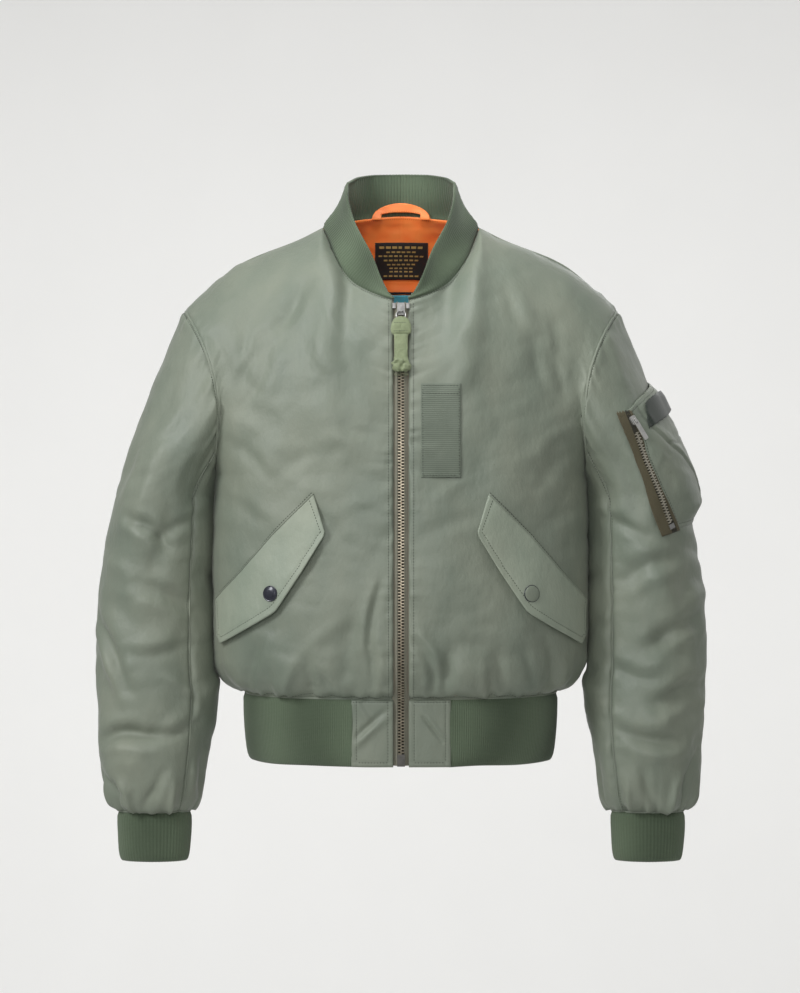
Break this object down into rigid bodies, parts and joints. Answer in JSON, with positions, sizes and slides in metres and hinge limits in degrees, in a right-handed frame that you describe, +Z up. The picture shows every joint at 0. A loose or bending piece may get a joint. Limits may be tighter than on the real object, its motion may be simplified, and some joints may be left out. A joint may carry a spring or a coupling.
{
  "type": "bomber jacket",
  "caption": "Flight-style bomber jacket with rib collar, cuffs and hem, zip front, slanted flap pockets and a zipped sleeve pocket, filled out as worn.",
  "frame": {"origin": "middle of the neck opening at the height of the shoulder points, where a wearer holds the jacket up", "axes": "+Z up, -Y out of the front, +X to the wearer's left"},
  "size_m": [0.73, 0.294, 0.8272],
  "materials": {
    "shell": "sage green satin nylon",
    "knit": "dark green rib knit",
    "lining": "orange quilted lining",
    "webbing": "grey green grosgrain webbing",
    "zip_tape": "brown olive woven zip tape",
    "zip_brass": "antique brass zip teeth",
    "steel": "dull nickel",
    "snap": "dark glossy snap cap",
    "snap_covered": "snap cap covered in shell cloth",
    "pull_webbing": "light sage webbing",
    "label": "black woven label",
    "tab_blue": "blue woven tab",
    "pen_tab": "dark green cloth"
  },
  "bodies": {
    "jacket": {"front_right": "shell", "front_left": "shell", "back": "shell", "hem_rib": "knit", "hem_tab_right": "shell", "hem_tab_left": "shell", "collar": "knit", "sleeve_top_right": "shell", "sleeve_under_right": "shell", "cuff_right": "knit", "sleeve_top_left": "shell", "sleeve_under_left": "shell", "cuff_left": "knit", "zip_tape_right": "zip_tape", "zip_tape_left": "zip_tape", "zip_chain": "zip_brass", "zip_slider": "steel", "zip_box": "zip_brass", "pocket_flap_right": "shell", "snap_right": "snap", "pocket_flap_left": "shell", "snap_left": "snap_covered", "chest_patch": "webbing", "lining_yoke": "lining", "neck_label": "label", "size_tab": "tab_blue", "hanger_loop": "lining", "sleeve_pocket": "shell", "sleeve_tape": "zip_tape", "sleeve_chain": "zip_brass", "pen_tab": "pen_tab", "sleeve_slider": "steel"},
    "front_pull": {"pull_ring": "steel", "pull_webbing": "pull_webbing"},
    "sleeve_pull": {"sleeve_pull_tab": "steel"}
  },
  "joints": [
    {"name": "front_pull_swing", "type": "hinge", "parent": "jacket", "child": "front_pull", "pos_m": [0, -0.10912, -0.11037], "axis": [-1, 0, 0], "range_deg": [0, 90]},
    {"name": "sleeve_pull_swing", "type": "hinge", "parent": "jacket", "child": "sleeve_pull", "pos_m": [0.27407, -0.08358, -0.23733], "axis": [-0.7426, -0.4826, -0.4643], "range_deg": [0, 90]}
  ]
}
